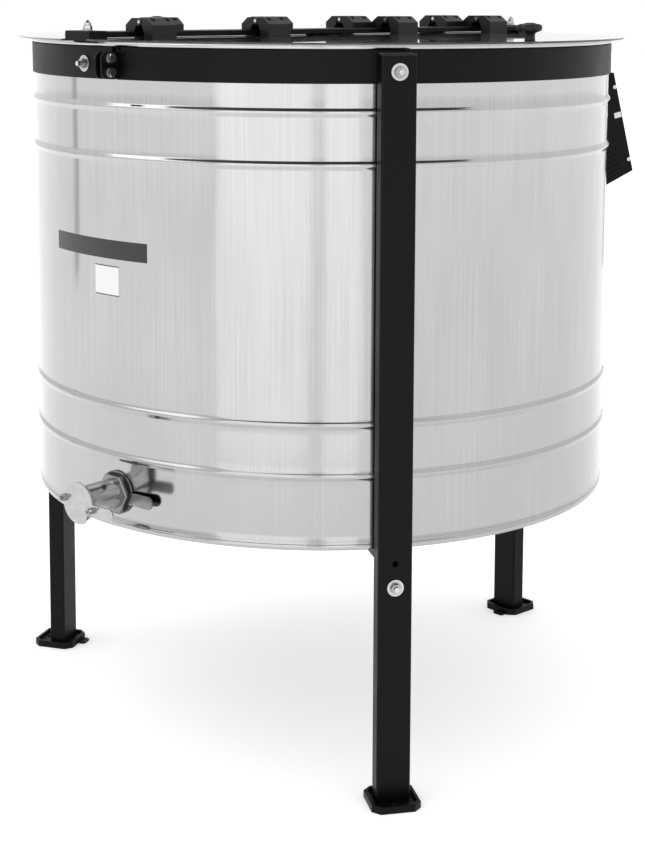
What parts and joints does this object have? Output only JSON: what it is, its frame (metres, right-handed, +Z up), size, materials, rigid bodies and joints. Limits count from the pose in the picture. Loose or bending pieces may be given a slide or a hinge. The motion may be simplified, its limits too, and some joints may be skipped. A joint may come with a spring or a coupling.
{
  "type": "honey extractor",
  "caption": "Motor-driven radial honey extractor: stainless drum on black legs, hinged clear lids over a crossbar, spinning frame basket, honey gate and control box.",
  "frame": {"origin": "on the drum's axis at floor level", "axes": "+Z up along the drum's axis, -Y towards the honey gate side, the crossbar lies along Y"},
  "size_m": [1.05, 1.1616, 1.2035],
  "materials": {
    "stainless_sheet": "bright rolled stainless sheet, lightly polished",
    "black_powder_coat": "black satin powder coat",
    "black_plastic": "black moulded plastic",
    "clear_lid": "clear glossy polycarbonate sheet",
    "zinc_fasteners": "bright plated steel",
    "bearing_steel": "ground steel",
    "rubber": "black rubber",
    "cast_aluminium": "dark painted casting",
    "display_dark": "dark glossy window",
    "red_plastic": "red moulded plastic",
    "green_plastic": "green moulded plastic",
    "circuit_board": "green circuit board",
    "label_film": "blank printed film"
  },
  "bodies": {
    "frame": {"bar_brackets": "black_powder_coat", "basket_bearings": "bearing_steel", "bearing_housing_bolts": "zinc_fasteners", "blank_labels": "label_film", "box_spacers": "black_plastic", "button_bezels": "black_plastic", "cable_gland": "black_plastic", "centre_strip": "black_powder_coat", "control_board": "circuit_board", "control_box": "black_powder_coat", "control_cover": "black_powder_coat", "cover_fasteners": "zinc_fasteners", "crossbar": "black_powder_coat", "crossbar_cap_nuts": "zinc_fasteners", "display_window": "display_dark", "drive_belt": "rubber", "drum_floor": "stainless_sheet", "drum_wall": "stainless_sheet", "feet": "black_powder_coat", "frame_bolts": "zinc_fasteners", "gate_body": "stainless_sheet", "gate_bolts": "zinc_fasteners", "gate_nuts": "stainless_sheet", "hinge_bar_leaves": "black_plastic", "hinge_bar_screws": "zinc_fasteners", "hinge_pins": "zinc_fasteners", "hoop_band": "black_powder_coat", "hoop_clamp_bolts": "zinc_fasteners", "leg_brackets": "black_powder_coat", "leg_caps": "black_plastic", "leg_front_left": "black_powder_coat", "leg_front_right": "black_powder_coat", "leg_rear": "black_powder_coat", "lower_bearing_housing": "cast_aluminium", "motor_housing": "cast_aluminium", "motor_mount": "black_powder_coat", "shaft_seal": "rubber", "top_bearing_housing": "black_powder_coat", "under_frame": "black_powder_coat"},
    "right_lid": {"lid_right": "clear_lid", "lid_right_hinge_leaves": "black_plastic", "lid_right_screws": "zinc_fasteners", "lid_right_knob": "black_plastic"},
    "left_lid": {"lid_left": "clear_lid", "lid_left_hinge_leaves": "black_plastic", "lid_left_screws": "zinc_fasteners", "lid_left_knob": "black_plastic"},
    "basket": {"basket_shaft": "stainless_sheet", "basket_lower_wheel": "stainless_sheet", "basket_upper_wheel": "stainless_sheet", "basket_uprights": "stainless_sheet", "drive_pulley": "cast_aluminium"},
    "motor_rotor": {"motor_pulley": "cast_aluminium", "motor_shaft": "bearing_steel"},
    "gate_blade": {"gate_blade": "stainless_sheet"},
    "gate_wing_nut": {"gate_wing_nut": "zinc_fasteners"},
    "speed_knob": {"speed_knob": "black_plastic"},
    "emergency_stop": {"emergency_stop": "red_plastic"},
    "start_button": {"start_button": "green_plastic"},
    "stop_button": {"stop_button": "red_plastic"}
  },
  "joints": [
    {"name": "right_lid_hinge", "type": "hinge", "parent": "frame", "child": "right_lid", "pos_m": [0.032, 0, 1.1975], "axis": [0, -1, 0], "range_deg": [0, 92]},
    {"name": "left_lid_hinge", "type": "hinge", "parent": "frame", "child": "left_lid", "pos_m": [-0.032, 0, 1.1975], "axis": [0, 1, 0], "range_deg": [0, 92]},
    {"name": "basket_spin", "type": "hinge", "parent": "frame", "child": "basket", "pos_m": [0, 0, 0.42], "axis": [0, 0, 1], "continuous": true},
    {"name": "motor_spin", "type": "hinge", "parent": "frame", "child": "motor_rotor", "pos_m": [-0.16021, 0.0925, 0.35], "axis": [0, 0, 1], "continuous": true},
    {"name": "gate_swing", "type": "hinge", "parent": "frame", "child": "gate_blade", "pos_m": [0.04547, -0.58285, 0.458], "axis": [0.1305, -0.9914, 0], "range_deg": [0, 90]},
    {"name": "wing_nut_turn", "type": "hinge", "parent": "frame", "child": "gate_wing_nut", "pos_m": [0.10576, -0.58117, 0.447], "axis": [0.1305, -0.9914, 0], "range_deg": [0, 180]},
    {"name": "speed_knob_turn", "type": "hinge", "parent": "frame", "child": "speed_knob", "pos_m": [0.17509, 0.51127, 1.06017], "axis": [-0.3955, -0.8883, -0.2336], "range_deg": [0, 270]},
    {"name": "emergency_stop_push", "type": "slide", "parent": "frame", "child": "emergency_stop", "axis": [-0.3955, -0.8883, -0.2336], "range_m": [0, 0.004], "stiffness_N_per_m": 600},
    {"name": "start_button_push", "type": "slide", "parent": "frame", "child": "start_button", "axis": [-0.3955, -0.8883, -0.2336], "range_m": [0, 0.002], "stiffness_N_per_m": 400},
    {"name": "stop_button_push", "type": "slide", "parent": "frame", "child": "stop_button", "axis": [-0.3955, -0.8883, -0.2336], "range_m": [0, 0.002], "stiffness_N_per_m": 400}
  ],
  "couplings": [
    {"joint": "motor_spin", "follows": "basket_spin", "ratio": 4}
  ]
}
